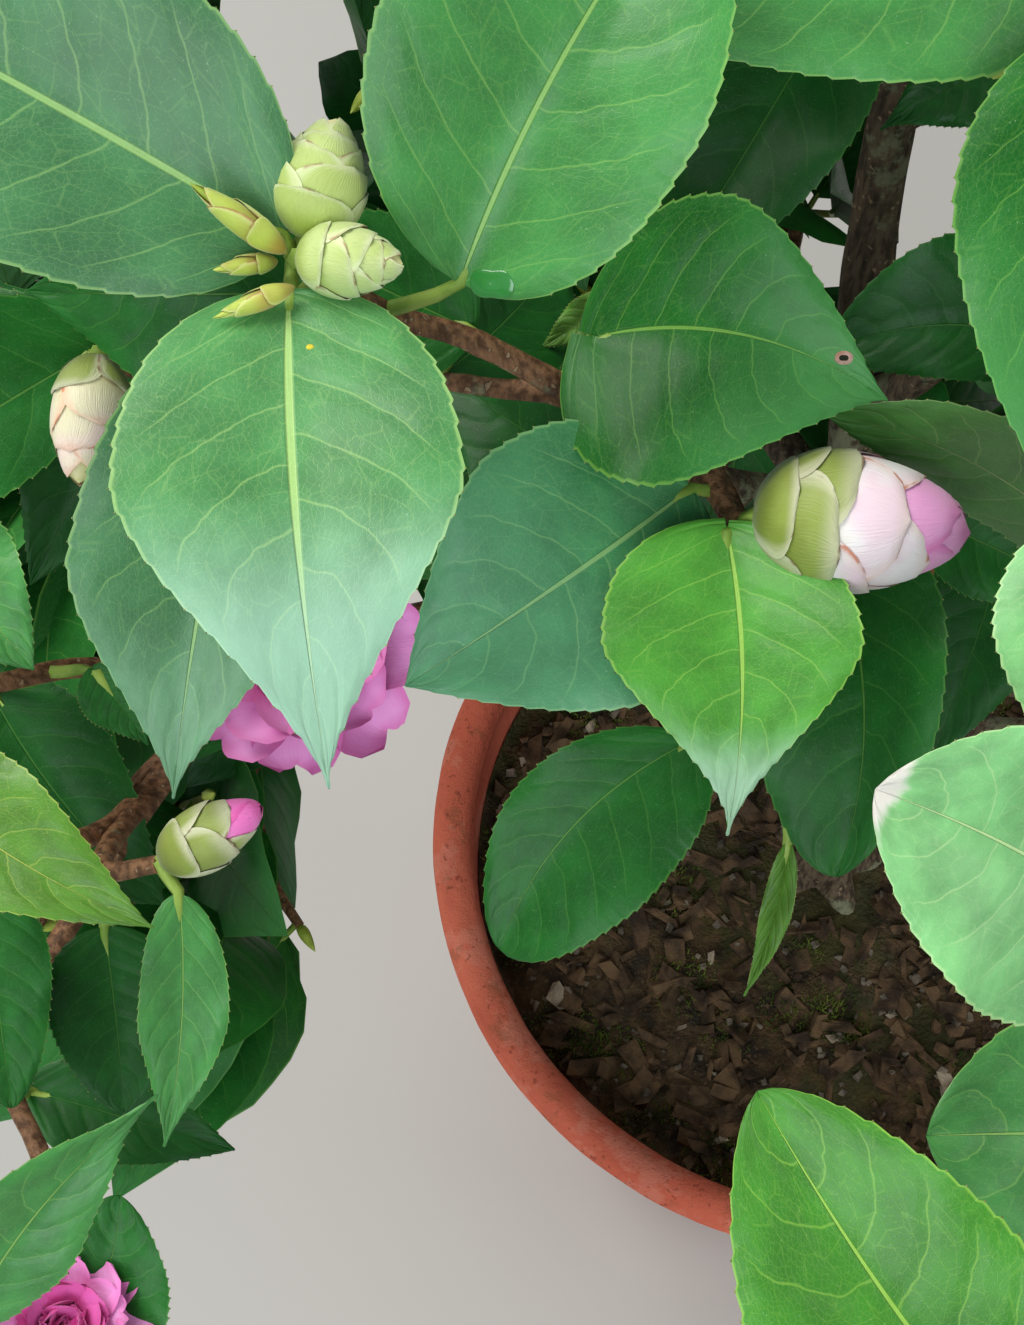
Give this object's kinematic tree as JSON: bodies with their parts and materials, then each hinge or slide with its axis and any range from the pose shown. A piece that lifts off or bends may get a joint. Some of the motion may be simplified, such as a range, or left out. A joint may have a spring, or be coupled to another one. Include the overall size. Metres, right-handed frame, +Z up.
{
  "type": "potted camellia shrub",
  "caption": "Bushy evergreen shrub with glossy pointed leaves, flower buds and pink double blooms, in a tapered round terracotta pot.",
  "frame": {"origin": "centre of the pot's flat underside, where it stands", "axes": "+Z up along the pot's axis; +Y to the back, the side the trunk leans to; +X to the right as seen from the front"},
  "size_m": [0.492, 0.4707, 0.6284],
  "materials": {
    "terracotta": "matt unglazed clay",
    "potting_soil": "damp potting mix of bark and peat",
    "bark": "smooth grey-brown bark",
    "foliage": "glossy evergreen leaves"
  },
  "bodies": {
    "root": {"pot": "terracotta", "soil": "potting_soil", "trunk": "bark", "bough_front": "bark", "bough_near_left": "bark", "bough_near_low_left": "bark", "bough_near_right": "bark", "bough_near_low_right": "bark", "bough_left": "bark", "bough_low_left": "bark", "bough_back_left": "bark", "bough_low_back": "bark", "bough_back": "bark", "bough_right": "bark", "bough_low_right": "bark", "bough_back_right": "bark", "bough_front_right": "bark", "bough_upper_right": "bark", "spray_front": "foliage", "spray_near_left": "foliage", "spray_near_low_left": "foliage", "spray_near_right": "foliage", "spray_near_low_right": "foliage", "foliage_left": "foliage", "foliage_low_left": "foliage", "foliage_back_left": "foliage", "foliage_low_back": "foliage", "foliage_back": "foliage", "foliage_right": "foliage", "foliage_low_right": "foliage", "foliage_back_right": "foliage", "foliage_upper_right": "foliage", "foliage_top": "foliage", "foliage_front_right": "foliage"}
  },
  "joints": []
}
